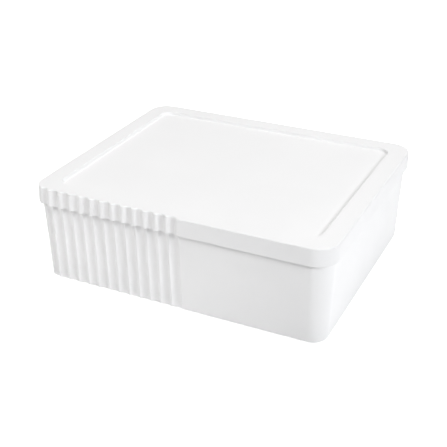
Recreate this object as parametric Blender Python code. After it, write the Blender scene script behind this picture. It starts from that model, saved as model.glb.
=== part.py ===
"""Lidded storage box: a drafted, fluted tub and the lift-off lid that caps its rim.

The length runs along X, the front faces -Y, and the tub stands on Z = 0. The lid's outline at the foot of its
skirt is the reference: every moulded wall is an inset of it, given as a distance inwards from that outline.
"""

import math

import bmesh
import bpy

# Lid outline
LID_LENGTH = 0.320
LID_DEPTH = 0.267
LID_CORNER_RADIUS = 0.0225

# Lid shell
LID_THICKNESS = 0.0022
SKIRT_HEIGHT = 0.0180
SKIRT_WALL = 0.0016
SKIRT_DRAFT = 0.0008
LID_EDGE_RADIUS = 0.0013
LID_INNER_RADIUS = 0.0006

# Recessed panel of the lid
RECESS_BORDER = 0.0203
RECESS_RUN = 0.0024
RECESS_DEPTH = 0.0030
RECESS_CORNER_RADIUS = 0.0130

# Tub shell
TUB_HEIGHT = 0.1008
TUB_WALL = 0.0022
TUB_DRAFT = 0.0033
TUB_FLOOR = 0.0024
TUB_EDGE_RADIUS = 0.0025
TUB_INNER_RADIUS = 0.0040

# Rim of the tub
LIP_WIDTH = 0.0007
LIP_HEIGHT = 0.0030
LIP_EDGE_RADIUS = 0.0007

# Foot ring, which stands in the recess of the lid below when boxes are stacked
FOOT_WIDTH = 0.0050
FOOT_DRAFT = 0.0005
STACK_CLEARANCE = 0.0010
STACK_LIFT = 0.0004

# Fit of the lid on the rim
SEAT_GAP = 0.0003
RIM_CLEARANCE = 0.0004

# Flutes on the left half of the front
FLUTE_PITCH = 0.0120
FLUTE_DEPTH = 0.0030
FLUTE_EDGE_X = 0.0071
OUTER_RIDGE_SHARE = 0.50
LEAST_RIDGE_SHARE = 0.20
CORNER_WRAP_SHARE = 0.36

# Facets
FLUTE_ARC_STEPS = 3
EDGE_STEPS = 3
FOOT_ROUND_STEPS = 6
RECESS_STEPS = 6
CORNER_STEPS = 8

# Finish
WHITE = (0.87, 0.87, 0.875, 1.0)
ROUGHNESS = 0.42

# Insets and heights that follow from the sizes above
LIP_INSET = SKIRT_DRAFT + SKIRT_WALL + RIM_CLEARANCE
WALL_TOP_INSET = LIP_INSET + LIP_WIDTH
WALL_FOOT_INSET = WALL_TOP_INSET + TUB_DRAFT
FOOT_HEIGHT = RECESS_DEPTH + STACK_LIFT
RIM_Z = FOOT_HEIGHT + TUB_HEIGHT
FLOOR_Z = FOOT_HEIGHT + TUB_FLOOR
LID_SEAT_Z = RIM_Z + SEAT_GAP

# The straight line that joins the corner centres, and the flutes along it
SPINE_X = LID_LENGTH / 2 - LID_CORNER_RADIUS
SPINE_Y = LID_DEPTH / 2 - LID_CORNER_RADIUS
CORNER_ARC = LID_CORNER_RADIUS * math.pi / 2
FLUTE_SLOPE = 2 * math.atan(2 * FLUTE_DEPTH / FLUTE_PITCH)
FLUTE_RADII = FLUTE_PITCH / 2 / math.sin(FLUTE_SLOPE)
FLUTE_ROOM = FLUTE_EDGE_X + SPINE_X + CORNER_WRAP_SHARE * CORNER_ARC
FLUTE_COUNT = int(FLUTE_ROOM / FLUTE_PITCH)


def clear_scene():
    for old in list(bpy.data.objects):
        bpy.data.objects.remove(old, do_unlink=True)


def plastic(name):
    material = bpy.data.materials.new(name)
    material.use_nodes = True
    shader = material.node_tree.nodes["Principled BSDF"]
    shader.inputs["Base Color"].default_value = WHITE
    shader.inputs["Roughness"].default_value = ROUGHNESS
    shader.inputs["Metallic"].default_value = 0.0
    material.diffuse_color = WHITE
    return material


def on_spine(distance):
    """Corner-centre line and outward angle, a distance to the left of the middle of the front."""
    if distance <= SPINE_X:
        return -distance, -SPINE_Y, -math.pi / 2
    turn = min((distance - SPINE_X) / LID_CORNER_RADIUS, math.pi / 2)
    return -SPINE_X, -SPINE_Y, -math.pi / 2 - turn


def inset_point(x, y, angle, inset, height):
    reach = LID_CORNER_RADIUS - inset
    return x + reach * math.cos(angle), y + reach * math.sin(angle), height


def flute_profile(ridge_radius):
    """One flute from crest to crest as (distance, depth): ridge and valley arcs that meet on one slope."""
    valley_radius = FLUTE_RADII - ridge_radius
    falling = []
    for step in range(FLUTE_ARC_STEPS):
        turn = FLUTE_SLOPE * step / FLUTE_ARC_STEPS
        falling.append((ridge_radius * math.sin(turn), ridge_radius * (1 - math.cos(turn))))
    for step in range(FLUTE_ARC_STEPS, 0, -1):
        turn = FLUTE_SLOPE * step / FLUTE_ARC_STEPS
        along = FLUTE_PITCH / 2 - valley_radius * math.sin(turn)
        falling.append((along, FLUTE_DEPTH - valley_radius * (1 - math.cos(turn))))
    rising = [(FLUTE_PITCH - along, depth) for along, depth in reversed(falling[1:])]
    return falling + [(FLUTE_PITCH / 2, FLUTE_DEPTH)] + rising


def fluted_loop(inset, height):
    """Outline at an inset, with the flutes sunk into the left of the front and the start of its corner."""
    ridge_radius = max(OUTER_RIDGE_SHARE * FLUTE_RADII - inset, LEAST_RIDGE_SHARE * FLUTE_RADII)
    points = []
    for number in range(FLUTE_COUNT):
        start = number * FLUTE_PITCH - FLUTE_EDGE_X
        for along, depth in flute_profile(ridge_radius):
            points.append(inset_point(*on_spine(start + along), inset + depth, height))
    flutes_end = FLUTE_COUNT * FLUTE_PITCH - FLUTE_EDGE_X
    corner_end = SPINE_X + CORNER_ARC
    for step in range(CORNER_STEPS):
        distance = flutes_end + (corner_end - flutes_end) * step / (CORNER_STEPS - 1)
        points.append(inset_point(*on_spine(distance), inset, height))
    for quarter, (x, y) in enumerate(((-SPINE_X, SPINE_Y), (SPINE_X, SPINE_Y), (SPINE_X, -SPINE_Y)), start=1):
        for step in range(CORNER_STEPS + 1):
            angle = -math.pi / 2 * (1 + quarter + step / CORNER_STEPS)
            points.append(inset_point(x, y, angle, inset, height))
    return points


def plain_loop(border, radius, height):
    """Rounded rectangle, a border inside the lid's outline."""
    x = LID_LENGTH / 2 - border - radius
    y = LID_DEPTH / 2 - border - radius
    points = []
    for quarter, (side_x, side_y) in enumerate(((-x, -y), (-x, y), (x, y), (x, -y))):
        for step in range(CORNER_STEPS + 1):
            angle = -math.pi / 2 * (1 + quarter + step / CORNER_STEPS)
            points.append((side_x + radius * math.cos(angle), side_y + radius * math.sin(angle), height))
    return points


def section_arc(inset, height, radius, start, end, steps):
    """Section points (inset, height) round a centre. 0 degrees points outwards and 90 degrees up."""
    points = []
    for step in range(steps + 1):
        angle = math.radians(start + (end - start) * step / steps)
        points.append((inset - radius * math.cos(angle), height + radius * math.sin(angle)))
    return points


def add_loop(bm, points):
    return [bm.verts.new(point) for point in points]


def loft(bm, loops):
    for lower, upper in zip(loops, loops[1:]):
        for i in range(len(lower)):
            bm.faces.new((lower[i - 1], lower[i], upper[i], upper[i - 1]))


def fill(bm, *loops):
    """Flat face bounded by one loop, or by one loop round another."""
    edges = [bm.edges.get((loop[i - 1], loop[i])) for loop in loops for i in range(len(loop))]
    bmesh.ops.triangle_fill(bm, use_beauty=True, edges=edges)


def finish(bm, name, location):
    bmesh.ops.recalc_face_normals(bm, faces=bm.faces)
    mesh = bpy.data.meshes.new(name)
    bm.to_mesh(mesh)
    bm.free()
    mesh.shade_smooth()
    mesh.set_sharp_from_angle(angle=math.radians(35))
    mesh.materials.append(plastic(name + "_plastic"))
    piece = bpy.data.objects.new(name, mesh)
    piece.location = location
    bpy.context.scene.collection.objects.link(piece)
    return piece


def tub_section():
    """Moulded wall of the tub, from its underside up the outer face, over the lip and down to the floor."""
    rim_inset = WALL_TOP_INSET + TUB_WALL
    floor_inset = WALL_FOOT_INSET + TUB_WALL
    foot_edge = section_arc(
        WALL_FOOT_INSET + TUB_EDGE_RADIUS, FOOT_HEIGHT + TUB_EDGE_RADIUS, TUB_EDGE_RADIUS, -90, 0, EDGE_STEPS
    )
    lip_under = [(WALL_TOP_INSET, RIM_Z - LIP_HEIGHT - LIP_WIDTH), (LIP_INSET, RIM_Z - LIP_HEIGHT)]
    lip_outer = section_arc(LIP_INSET + LIP_EDGE_RADIUS, RIM_Z - LIP_EDGE_RADIUS, LIP_EDGE_RADIUS, 0, 90, EDGE_STEPS)
    lip_inner = section_arc(rim_inset - LIP_EDGE_RADIUS, RIM_Z - LIP_EDGE_RADIUS, LIP_EDGE_RADIUS, 90, 180, EDGE_STEPS)
    floor_edge = section_arc(
        floor_inset + TUB_INNER_RADIUS, FLOOR_Z + TUB_INNER_RADIUS, TUB_INNER_RADIUS, 0, -90, EDGE_STEPS
    )
    return foot_edge + lip_under + lip_outer + lip_inner + floor_edge


def foot_loops(bm):
    """Raised ring under the floor, from its outer root round to its inner root."""
    border = RECESS_BORDER + RECESS_RUN + STACK_CLEARANCE
    radius = RECESS_CORNER_RADIUS - RECESS_RUN - STACK_CLEARANCE
    section = (
        (0, FOOT_HEIGHT),
        (FOOT_DRAFT, 0),
        (FOOT_WIDTH - FOOT_DRAFT, 0),
        (FOOT_WIDTH, FOOT_HEIGHT),
    )
    return [add_loop(bm, plain_loop(border + inset, radius - inset, height)) for inset, height in section]


def build_tub():
    bm = bmesh.new()
    wall = [add_loop(bm, fluted_loop(inset, height)) for inset, height in tub_section()]
    foot = foot_loops(bm)
    loft(bm, wall)
    loft(bm, foot)
    fill(bm, wall[0], foot[0])
    fill(bm, foot[-1])
    fill(bm, wall[-1])
    return finish(bm, "box_body", (0, 0, 0))


def skirt_section():
    """Lid's outer wall, from its top face down the skirt, round the skirt's foot and up to the underside."""
    top_edge = section_arc(
        SKIRT_DRAFT + LID_EDGE_RADIUS, LID_THICKNESS - LID_EDGE_RADIUS, LID_EDGE_RADIUS, 90, 0, EDGE_STEPS
    )
    half_wall = SKIRT_WALL / 2
    skirt_foot = section_arc(
        half_wall, LID_THICKNESS - SKIRT_HEIGHT + half_wall, half_wall, 0, -180, FOOT_ROUND_STEPS
    )
    under_edge = section_arc(
        SKIRT_DRAFT + SKIRT_WALL + LID_INNER_RADIUS, -LID_INNER_RADIUS, LID_INNER_RADIUS, 0, 90, EDGE_STEPS
    )
    return top_edge + skirt_foot + under_edge


def recess_loops(bm, border, height):
    """Soft step down into the recessed panel, from its upper edge to its foot."""
    loops = []
    for step in range(RECESS_STEPS + 1):
        inset = RECESS_RUN * step / RECESS_STEPS
        drop = RECESS_DEPTH * (1 - math.cos(math.pi * step / RECESS_STEPS)) / 2
        loops.append(add_loop(bm, plain_loop(border + inset, RECESS_CORNER_RADIUS - inset, height - drop)))
    return loops


def build_lid():
    bm = bmesh.new()
    wall = [add_loop(bm, fluted_loop(inset, height)) for inset, height in skirt_section()]
    top_step = recess_loops(bm, RECESS_BORDER, LID_THICKNESS)
    under_step = recess_loops(bm, RECESS_BORDER - LID_THICKNESS / 2, 0)
    for loops in (wall, top_step, under_step):
        loft(bm, loops)
    fill(bm, wall[0], top_step[0])
    fill(bm, top_step[-1])
    fill(bm, wall[-1], under_step[0])
    fill(bm, under_step[-1])
    return finish(bm, "lid", (0, 0, LID_SEAT_Z))


def main():
    clear_scene()
    build_tub()
    build_lid()


main()
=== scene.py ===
"""Looks of the lidded storage box.

Finely moulded shells, white plastic, a pale studio and the photograph's camera.
"""

import math

import bmesh
import bpy
from mathutils import Matrix, Vector


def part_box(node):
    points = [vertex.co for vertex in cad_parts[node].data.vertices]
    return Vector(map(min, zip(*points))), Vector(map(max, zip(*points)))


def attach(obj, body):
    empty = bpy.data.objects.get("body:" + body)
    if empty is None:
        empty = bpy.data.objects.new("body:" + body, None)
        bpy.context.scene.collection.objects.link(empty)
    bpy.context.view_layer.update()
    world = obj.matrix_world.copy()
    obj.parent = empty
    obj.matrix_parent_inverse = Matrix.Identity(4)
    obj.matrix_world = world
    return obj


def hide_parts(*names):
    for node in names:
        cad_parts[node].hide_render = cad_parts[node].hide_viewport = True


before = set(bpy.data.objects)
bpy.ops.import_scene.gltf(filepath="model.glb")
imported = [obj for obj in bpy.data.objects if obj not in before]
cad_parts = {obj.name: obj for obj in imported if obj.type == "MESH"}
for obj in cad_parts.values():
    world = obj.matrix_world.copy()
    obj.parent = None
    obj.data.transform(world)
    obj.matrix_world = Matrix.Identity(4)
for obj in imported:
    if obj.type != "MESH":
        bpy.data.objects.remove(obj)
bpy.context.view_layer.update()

# Sizes read from the frame
LID_LOW, LID_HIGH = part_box("lid")
LID_LENGTH = LID_HIGH.x - LID_LOW.x
LID_DEPTH = LID_HIGH.y - LID_LOW.y
LID_TOP_Z = LID_HIGH.z
SKIRT_FOOT_Z = LID_LOW.z
RIM_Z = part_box("box_body")[1].z

# Shells, in metres. Insets count inwards from the lid's outline at the foot of its skirt
CORNER_RADIUS = 0.0225
SEAT_GAP = 0.0003
LID_THICKNESS = LID_TOP_Z - RIM_Z - SEAT_GAP
SKIRT_WALL = 0.0016
SKIRT_DRAFT = 0.0008
LID_EDGE_RADIUS = 0.0013
LID_INNER_RADIUS = 0.0006
RIM_CLEARANCE = 0.0004
LIP_WIDTH = 0.0007
LIP_HEIGHT = 0.0030
LIP_EDGE_RADIUS = 0.0007
TUB_WALL = 0.0022
TUB_DRAFT = 0.0033
TUB_FLOOR = 0.0024
TUB_INNER_RADIUS = 0.0040

# Base rim: the flutes run out over the ledge above it, down to this share of their depth
BASE_RIM_RADIUS = 0.0020
BASE_RIM_HEIGHT = 0.0021
BASE_RIM_FLUTE_SHARE = 0.45
LEDGE_RISE = 0.0040

# Recessed panel of the lid, and the foot ring that fits it. The panel's step is 0.4 mm narrower
# than in the solids and the clearance as much wider, so the foot ring is where theirs is
RECESS_BORDER = 0.0203
RECESS_RUN = 0.0020
RECESS_DEPTH = 0.0030
RECESS_CORNER_RADIUS = 0.0130
FOOT_HEIGHT = 0.0034
FOOT_WIDTH = 0.0050
FOOT_DRAFT = 0.0005
STACK_CLEARANCE = 0.0014

# Flutes: they start right of the middle of the front, at FLUTE_EDGE_X, and may cover the wrap
# share of the corner's arc. The ridge shares are of the sum of the ridge and valley radii
FLUTE_PITCH = 0.0120
FLUTE_DEPTH = 0.0030
FLUTE_EDGE_X = 0.0071
OUTER_RIDGE_SHARE = 0.50
LEAST_RIDGE_SHARE = 0.20
CORNER_WRAP_SHARE = 0.36

# Fineness of the visible surfaces
FLUTE_ARC_STEPS = 8
EDGE_STEPS = 8
RECESS_STEPS = 14
CORNER_STEPS = 24

# Places that follow from the sizes
LIP_INSET = SKIRT_DRAFT + SKIRT_WALL + RIM_CLEARANCE
WALL_TOP_INSET = LIP_INSET + LIP_WIDTH
WALL_FOOT_INSET = WALL_TOP_INSET + TUB_DRAFT
FLOOR_Z = FOOT_HEIGHT + TUB_FLOOR
SPINE_X = LID_LENGTH / 2 - CORNER_RADIUS
SPINE_Y = LID_DEPTH / 2 - CORNER_RADIUS
CORNER_ARC = CORNER_RADIUS * math.pi / 2
FLUTE_SLOPE = 2 * math.atan(2 * FLUTE_DEPTH / FLUTE_PITCH)
FLUTE_RADII = FLUTE_PITCH / 2 / math.sin(FLUTE_SLOPE)
FLUTE_COUNT = int((FLUTE_EDGE_X + SPINE_X + CORNER_WRAP_SHARE * CORNER_ARC) / FLUTE_PITCH)

# Corners in turn, clockwise seen from above, from the front left one, as signs of x and y
CORNER_SIDES = ((-1, -1), (-1, 1), (1, 1), (1, -1))

# Directions in a section, in degrees
OUTWARDS = 0
UP = 90
INWARDS = 180
DOWN = -90
INWARDS_PAST_DOWN = -180

# White polypropylene. Each noise is its scale per metre, detail and roughness
PLASTIC_IOR = 1.49
WHITE_LOW = (0.864, 0.864, 0.866, 1.0)
WHITE_HIGH = (0.876, 0.876, 0.878, 1.0)
WHITE_NOISE = (14.0, 3.0, 0.5)
ROUGHNESS_LOW = 0.38
ROUGHNESS_HIGH = 0.46
ROUGHNESS_NOISE = (55.0, 4.0, 0.55)
GRAIN_NOISE = (2600.0, 2.0, 0.6)
GRAIN_DEPTH = 0.00003
GRAIN_STRENGTH = 0.25
NOISE_LOW = 0.35
NOISE_HIGH = 0.65

# Shading: edges sharper than the angle stay sharp, and large faces keep their normals
SHARP_ANGLE = math.radians(50)
FACE_AREA_WEIGHT = 100

# Floor and surroundings: white as seen, without lighting the object
FLOOR_SIZE = 8.0
FLOOR_COLOUR = (0.92, 0.92, 0.92, 1.0)
FLOOR_ROUGHNESS = 0.9
FLOOR_SPECULAR = 0.0
FLOOR_NEAR_GLOW = 0.9
FLOOR_FAR_GLOW = 1.0
FLOOR_NEAR_RADIUS = 0.30
FLOOR_FAR_RADIUS = 0.90
WORLD_STRENGTH = 0.0
WORLD_SEEN_STRENGTH = 1.0
SEEN_WHITE = (1.0, 1.0, 1.0, 1.0)

# Lamps: name, place, aim, width and height, watts, colour
COOL = (0.968, 0.980, 1.0)
WARM = (1.0, 0.992, 0.983)
BOX_MIDDLE = (0.0, 0.0, 0.05)
PANEL = (0.45, 0.3)
LAMPS = (
    ("back", (0.0, 0.919, 0.821), BOX_MIDDLE, PANEL, 0.71, WARM),
    ("high_back", (0.0, 0.41, 1.178), BOX_MIDDLE, PANEL, 5.05, WARM),
    ("left_front", (-0.388, -0.833, 0.821), BOX_MIDDLE, PANEL, 3.05, WARM),
    ("high_left", (-0.41, 0.0, 1.178), BOX_MIDDLE, PANEL, 2.43, WARM),
    ("key_right", (0.977, -0.355, 0.65), BOX_MIDDLE, PANEL, 1.99, COOL),
    ("soft_key_right", (1.79, -0.652, 1.15), BOX_MIDDLE, (0.9, 0.6), 20.7, COOL),
    ("high_front", (0.0, -0.5, 0.7), BOX_MIDDLE, (0.3, 0.3), 0.525, WARM),
    ("low_left_front", (-0.45, -0.5, 0.05), (-0.1, -0.13, 0.03), (0.4, 0.06), 0.192, WARM),
    ("low_back_left", (-0.85, 0.85, 0.05), BOX_MIDDLE, (0.6, 0.08), 3.5, WARM),
    ("foot_front", (-0.08, -0.22, 0.008), (-0.08, -0.13, 0.01), (0.3, 0.012), 0.0155, WARM),
)

# Camera, fitted to the straight edges of the box in the photograph
CAMERA_AZIMUTH = math.radians(25.484)
CAMERA_ELEVATION = math.radians(27.527)
CAMERA_DISTANCE = 1.0027
CAMERA_AIM = Vector((-0.01727, 0.01879, 0.02524))
CAMERA_LENS = 72.584
CAMERA_SENSOR = 36.0


def on_spine(distance):
    """Centre and outward angle of the outline's rounding, this far left of the middle of the front."""
    if distance <= SPINE_X:
        return -distance, -SPINE_Y, -math.pi / 2
    turn = min((distance - SPINE_X) / CORNER_RADIUS, math.pi / 2)
    return -SPINE_X, -SPINE_Y, -math.pi / 2 - turn


def inset_point(x, y, angle, inset, height):
    reach = CORNER_RADIUS - inset
    return x + reach * math.cos(angle), y + reach * math.sin(angle), height


def corner_points(corner, x, y, radius, height):
    """Points round one of CORNER_SIDES, whose centre is x and y away from the middle of the box."""
    side_x, side_y = CORNER_SIDES[corner]
    points = []
    for step in range(CORNER_STEPS + 1):
        angle = -math.pi / 2 * (1 + corner + step / CORNER_STEPS)
        reach_x, reach_y = radius * math.cos(angle), radius * math.sin(angle)
        points.append((side_x * x + reach_x, side_y * y + reach_y, height))
    return points


def flute_profile(ridge_radius):
    """One flute from crest to crest as (distance, depth): its arcs meet on one slope."""
    valley_radius = FLUTE_RADII - ridge_radius
    falling = []
    for step in range(FLUTE_ARC_STEPS):
        turn = FLUTE_SLOPE * step / FLUTE_ARC_STEPS
        falling.append((ridge_radius * math.sin(turn), ridge_radius * (1 - math.cos(turn))))
    for step in range(FLUTE_ARC_STEPS, 0, -1):
        turn = FLUTE_SLOPE * step / FLUTE_ARC_STEPS
        along = FLUTE_PITCH / 2 - valley_radius * math.sin(turn)
        falling.append((along, FLUTE_DEPTH - valley_radius * (1 - math.cos(turn))))
    rising = [(FLUTE_PITCH - along, depth) for along, depth in reversed(falling[1:])]
    return falling + [(FLUTE_PITCH / 2, FLUTE_DEPTH)] + rising


def fluted_loop(inset, height, flute_share):
    """Outline at an inset, with a share of the flutes' depth sunk into the left of its front."""
    ridge_radius = max(OUTER_RIDGE_SHARE * FLUTE_RADII - inset, LEAST_RIDGE_SHARE * FLUTE_RADII)
    profile = flute_profile(ridge_radius)
    points = []
    for number in range(FLUTE_COUNT):
        start = number * FLUTE_PITCH - FLUTE_EDGE_X
        for along, depth in profile:
            points.append(inset_point(*on_spine(start + along), inset + flute_share * depth, height))
    flutes_end = FLUTE_COUNT * FLUTE_PITCH - FLUTE_EDGE_X
    corner_end = SPINE_X + CORNER_ARC
    for step in range(CORNER_STEPS):
        distance = flutes_end + (corner_end - flutes_end) * step / (CORNER_STEPS - 1)
        points.append(inset_point(*on_spine(distance), inset, height))
    for corner in range(1, len(CORNER_SIDES)):
        points += corner_points(corner, SPINE_X, SPINE_Y, CORNER_RADIUS - inset, height)
    return points


def plain_loop(border, radius, height):
    """Rounded rectangle, a border inside the lid's outline."""
    x = LID_LENGTH / 2 - border - radius
    y = LID_DEPTH / 2 - border - radius
    points = []
    for corner in range(len(CORNER_SIDES)):
        points += corner_points(corner, x, y, radius, height)
    return points


def section_arc(inset, height, radius, start, end, steps=EDGE_STEPS):
    """Section points (inset, height) on an arc round a centre, from one direction to another."""
    points = []
    for step in range(steps + 1):
        angle = math.radians(start + (end - start) * step / steps)
        points.append((inset - radius * math.cos(angle), height + radius * math.sin(angle)))
    return points


def add_loop(bm, points):
    return [bm.verts.new(point) for point in points]


def fluted_loops(bm, section, flute_share=1.0):
    """One fluted outline for each point (inset, height) of a section."""
    return [add_loop(bm, fluted_loop(inset, height, flute_share)) for inset, height in section]


def loft(bm, loops):
    for lower, upper in zip(loops, loops[1:]):
        for i in range(len(lower)):
            bm.faces.new((lower[i - 1], lower[i], upper[i], upper[i - 1]))


def fill(bm, *loops):
    """Flat face bounded by one loop, or by one loop round another."""
    edges = [bm.edges.get((loop[i - 1], loop[i])) for loop in loops for i in range(len(loop))]
    bmesh.ops.triangle_fill(bm, use_beauty=True, edges=edges)


def shell_object(bm, name, material):
    """Closed shell with smooth shading whose flat faces stay flat up to their rounded edges."""
    bmesh.ops.recalc_face_normals(bm, faces=bm.faces)
    mesh = bpy.data.meshes.new(name)
    bm.to_mesh(mesh)
    bm.free()
    mesh.shade_smooth()
    mesh.set_sharp_from_angle(angle=SHARP_ANGLE)
    mesh.materials.append(material)
    piece = bpy.data.objects.new(name, mesh)
    bpy.context.scene.collection.objects.link(piece)
    normals = piece.modifiers.new("flat_faces", "WEIGHTED_NORMAL")
    normals.mode = "FACE_AREA"
    normals.weight = FACE_AREA_WEIGHT
    normals.keep_sharp = True
    return piece


def base_rim_section():
    """Rounded rim round the underside of the tub, on which the flutes end."""
    centre_inset = WALL_FOOT_INSET + BASE_RIM_RADIUS
    centre_z = FOOT_HEIGHT + BASE_RIM_RADIUS
    rounding = section_arc(centre_inset, centre_z, BASE_RIM_RADIUS, DOWN, OUTWARDS)
    return rounding + [(WALL_FOOT_INSET, FOOT_HEIGHT + BASE_RIM_HEIGHT)]


def tub_section():
    """Wall of the tub, from above its base rim up the outer face, over the lip and down to the floor."""
    rim_inset = WALL_TOP_INSET + TUB_WALL
    lip_edge_z = RIM_Z - LIP_EDGE_RADIUS
    floor_inset = WALL_FOOT_INSET + TUB_WALL + TUB_INNER_RADIUS
    floor_edge_z = FLOOR_Z + TUB_INNER_RADIUS
    ledge = [(WALL_FOOT_INSET, FOOT_HEIGHT + BASE_RIM_HEIGHT + LEDGE_RISE)]
    lip_under = [(WALL_TOP_INSET, RIM_Z - LIP_HEIGHT - LIP_WIDTH), (LIP_INSET, RIM_Z - LIP_HEIGHT)]
    lip_outer = section_arc(LIP_INSET + LIP_EDGE_RADIUS, lip_edge_z, LIP_EDGE_RADIUS, OUTWARDS, UP)
    lip_inner = section_arc(rim_inset - LIP_EDGE_RADIUS, lip_edge_z, LIP_EDGE_RADIUS, UP, INWARDS)
    floor_edge = section_arc(floor_inset, floor_edge_z, TUB_INNER_RADIUS, OUTWARDS, DOWN)
    return ledge + lip_under + lip_outer + lip_inner + floor_edge


def foot_loops(bm):
    """Ring under the tub on which it stands, from its outer face round to its inner one."""
    border = RECESS_BORDER + RECESS_RUN + STACK_CLEARANCE
    radius = RECESS_CORNER_RADIUS - RECESS_RUN - STACK_CLEARANCE
    section = (
        (0, FOOT_HEIGHT),
        (FOOT_DRAFT, 0),
        (FOOT_WIDTH - FOOT_DRAFT, 0),
        (FOOT_WIDTH, FOOT_HEIGHT),
    )
    loops = []
    for inset, height in section:
        loops.append(add_loop(bm, plain_loop(border + inset, radius - inset, height)))
    return loops


def make_tub(material):
    bm = bmesh.new()
    wall = fluted_loops(bm, base_rim_section(), BASE_RIM_FLUTE_SHARE) + fluted_loops(bm, tub_section())
    foot = foot_loops(bm)
    loft(bm, wall)
    loft(bm, foot)
    fill(bm, wall[0], foot[0])
    fill(bm, foot[-1])
    fill(bm, wall[-1])
    return shell_object(bm, "tub_shell", material)


def skirt_section():
    """Lid's wall, from its top face down the skirt, round the skirt's foot and up to the underside."""
    top_edge_inset = SKIRT_DRAFT + LID_EDGE_RADIUS
    top_edge_z = LID_TOP_Z - LID_EDGE_RADIUS
    half_wall = SKIRT_WALL / 2
    foot_z = SKIRT_FOOT_Z + half_wall
    under_inset = SKIRT_DRAFT + SKIRT_WALL + LID_INNER_RADIUS
    under_edge_z = LID_TOP_Z - LID_THICKNESS - LID_INNER_RADIUS
    top_edge = section_arc(top_edge_inset, top_edge_z, LID_EDGE_RADIUS, UP, OUTWARDS)
    skirt_foot = section_arc(half_wall, foot_z, half_wall, OUTWARDS, INWARDS_PAST_DOWN, 2 * EDGE_STEPS)
    under_edge = section_arc(under_inset, under_edge_z, LID_INNER_RADIUS, OUTWARDS, UP)
    return top_edge + skirt_foot + under_edge


def recess_loops(bm, border, height):
    """Soft step down into the recessed panel, from its upper edge to its foot."""
    loops = []
    for step in range(RECESS_STEPS + 1):
        inset = RECESS_RUN * step / RECESS_STEPS
        drop = RECESS_DEPTH * (1 - math.cos(math.pi * step / RECESS_STEPS)) / 2
        points = plain_loop(border + inset, RECESS_CORNER_RADIUS - inset, height - drop)
        loops.append(add_loop(bm, points))
    return loops


def make_lid(material):
    bm = bmesh.new()
    wall = fluted_loops(bm, skirt_section())
    top_step = recess_loops(bm, RECESS_BORDER, LID_TOP_Z)
    under_step = recess_loops(bm, RECESS_BORDER - LID_THICKNESS / 2, LID_TOP_Z - LID_THICKNESS)
    for loops in (wall, top_step, under_step):
        loft(bm, loops)
    fill(bm, wall[0], top_step[0])
    fill(bm, top_step[-1])
    fill(bm, wall[-1], under_step[0])
    fill(bm, under_step[-1])
    return shell_object(bm, "lid_shell", material)


def node_tree(owner):
    """Nodes and links of a material or of the world."""
    owner.use_nodes = True
    return owner.node_tree.nodes, owner.node_tree.links


def combine(nodes, links, operation, first, second):
    """Output of a math node that takes two other outputs."""
    node = nodes.new("ShaderNodeMath")
    node.operation = operation
    links.new(first, node.inputs[0])
    links.new(second, node.inputs[1])
    return node.outputs[0]


def grey(level):
    return level, level, level, 1.0


def moulded_plastic(name):
    """White polypropylene: fine mould grain, faint flow in the gloss and a barely uneven white."""
    material = bpy.data.materials.new(name)
    nodes, links = node_tree(material)
    shader = nodes["Principled BSDF"]
    shader.inputs["Metallic"].default_value = 0.0
    shader.inputs["IOR"].default_value = PLASTIC_IOR
    place = nodes.new("ShaderNodeTexCoord")

    def noise(scale, detail, roughness):
        node = nodes.new("ShaderNodeTexNoise")
        node.inputs["Scale"].default_value = scale
        node.inputs["Detail"].default_value = detail
        node.inputs["Roughness"].default_value = roughness
        links.new(place.outputs["Object"], node.inputs["Vector"])
        return node.outputs["Fac"]

    def ramp(source, low, high):
        node = nodes.new("ShaderNodeValToRGB")
        node.color_ramp.elements[0].position = NOISE_LOW
        node.color_ramp.elements[0].color = low
        node.color_ramp.elements[1].position = NOISE_HIGH
        node.color_ramp.elements[1].color = high
        links.new(source, node.inputs["Fac"])
        return node.outputs["Color"]

    tint = ramp(noise(*WHITE_NOISE), WHITE_LOW, WHITE_HIGH)
    links.new(tint, shader.inputs["Base Color"])
    gloss = ramp(noise(*ROUGHNESS_NOISE), grey(ROUGHNESS_LOW), grey(ROUGHNESS_HIGH))
    links.new(gloss, shader.inputs["Roughness"])
    grain = nodes.new("ShaderNodeBump")
    grain.inputs["Strength"].default_value = GRAIN_STRENGTH
    grain.inputs["Distance"].default_value = GRAIN_DEPTH
    links.new(noise(*GRAIN_NOISE), grain.inputs["Height"])
    links.new(grain.outputs["Normal"], shader.inputs["Normal"])
    return material


def seen_directly(nodes, links):
    """1 for camera, glossy and transmission rays, 0 for the rays that carry light to the object."""
    rays = nodes.new("ShaderNodeLightPath").outputs
    seen = combine(nodes, links, "MAXIMUM", rays["Is Camera Ray"], rays["Is Glossy Ray"])
    return combine(nodes, links, "MAXIMUM", seen, rays["Is Transmission Ray"])


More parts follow.
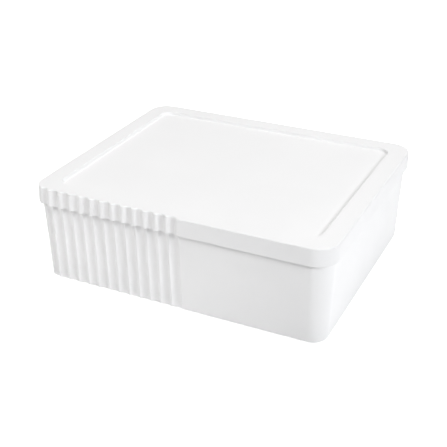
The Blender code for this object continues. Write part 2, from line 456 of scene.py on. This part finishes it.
def make_floor():
    """Pale paper that reads as white, brighter away from the box, where it keeps the soft shadow."""
    bpy.ops.mesh.primitive_plane_add(size=FLOOR_SIZE)
    floor = bpy.context.object
    floor.name = "studio_floor"
    material = bpy.data.materials.new("studio_paper")
    nodes, links = node_tree(material)
    paper = nodes["Principled BSDF"]
    paper.inputs["Base Color"].default_value = FLOOR_COLOUR
    paper.inputs["Roughness"].default_value = FLOOR_ROUGHNESS
    paper.inputs["Specular IOR Level"].default_value = FLOOR_SPECULAR
    paper.inputs["Emission Color"].default_value = SEEN_WHITE
    place = nodes.new("ShaderNodeTexCoord")
    radius = nodes.new("ShaderNodeVectorMath")
    radius.operation = "LENGTH"
    links.new(place.outputs["Object"], radius.inputs[0])
    glow = nodes.new("ShaderNodeMapRange")
    glow.interpolation_type = "SMOOTHSTEP"
    glow.inputs["From Min"].default_value = FLOOR_NEAR_RADIUS
    glow.inputs["From Max"].default_value = FLOOR_FAR_RADIUS
    glow.inputs["To Min"].default_value = FLOOR_NEAR_GLOW
    glow.inputs["To Max"].default_value = FLOOR_FAR_GLOW
    links.new(radius.outputs["Value"], glow.inputs["Value"])
    seen_glow = combine(nodes, links, "MULTIPLY", glow.outputs["Result"], seen_directly(nodes, links))
    links.new(seen_glow, paper.inputs["Emission Strength"])
    floor.data.materials.append(material)


def make_world():
    """Surroundings that are seen as white and give the object no light: the lamps do that."""
    world = bpy.data.worlds.new("studio")
    bpy.context.scene.world = world
    nodes, links = node_tree(world)
    light = nodes["Background"]
    light.inputs["Strength"].default_value = WORLD_STRENGTH
    light.inputs["Color"].default_value = SEEN_WHITE
    seen = nodes.new("ShaderNodeBackground")
    seen.inputs["Strength"].default_value = WORLD_SEEN_STRENGTH
    seen.inputs["Color"].default_value = SEEN_WHITE
    mix = nodes.new("ShaderNodeMixShader")
    links.new(seen_directly(nodes, links), mix.inputs["Fac"])
    links.new(light.outputs["Background"], mix.inputs[1])
    links.new(seen.outputs["Background"], mix.inputs[2])
    links.new(mix.outputs["Shader"], nodes["World Output"].inputs["Surface"])


def area_light(name, place, aim, size, power, colour):
    """Soft rectangular panel that shines from its place towards its aim."""
    data = bpy.data.lights.new(name, "AREA")
    data.shape = "RECTANGLE"
    data.size, data.size_y = size
    data.energy = power
    data.color = colour
    lamp = bpy.data.objects.new(name, data)
    lamp.location = place
    lamp.rotation_euler = (Vector(aim) - Vector(place)).to_track_quat("-Z", "Y").to_euler()
    lamp.visible_camera = False
    bpy.context.scene.collection.objects.link(lamp)


def make_camera():
    back = Vector((
        math.sin(CAMERA_AZIMUTH) * math.cos(CAMERA_ELEVATION),
        -math.cos(CAMERA_AZIMUTH) * math.cos(CAMERA_ELEVATION),
        math.sin(CAMERA_ELEVATION),
    ))
    right = Vector((math.cos(CAMERA_AZIMUTH), math.sin(CAMERA_AZIMUTH), 0.0))
    data = bpy.data.cameras.new("camera")
    data.lens = CAMERA_LENS
    data.sensor_width = CAMERA_SENSOR
    camera = bpy.data.objects.new("camera", data)
    turn = Matrix((right, back.cross(right), back)).transposed().to_4x4()
    camera.matrix_world = Matrix.Translation(CAMERA_AIM + back * CAMERA_DISTANCE) @ turn
    bpy.context.scene.collection.objects.link(camera)
    bpy.context.scene.camera = camera


def main():
    tub = make_tub(moulded_plastic("tub_plastic"))
    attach(tub, "box")
    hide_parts("box_body")
    lid = make_lid(moulded_plastic("lid_plastic"))
    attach(lid, "lid")
    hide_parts("lid")
    make_floor()
    make_world()
    for lamp in LAMPS:
        area_light(*lamp)
    make_camera()
    bpy.context.scene.view_settings.view_transform = "Standard"


main()
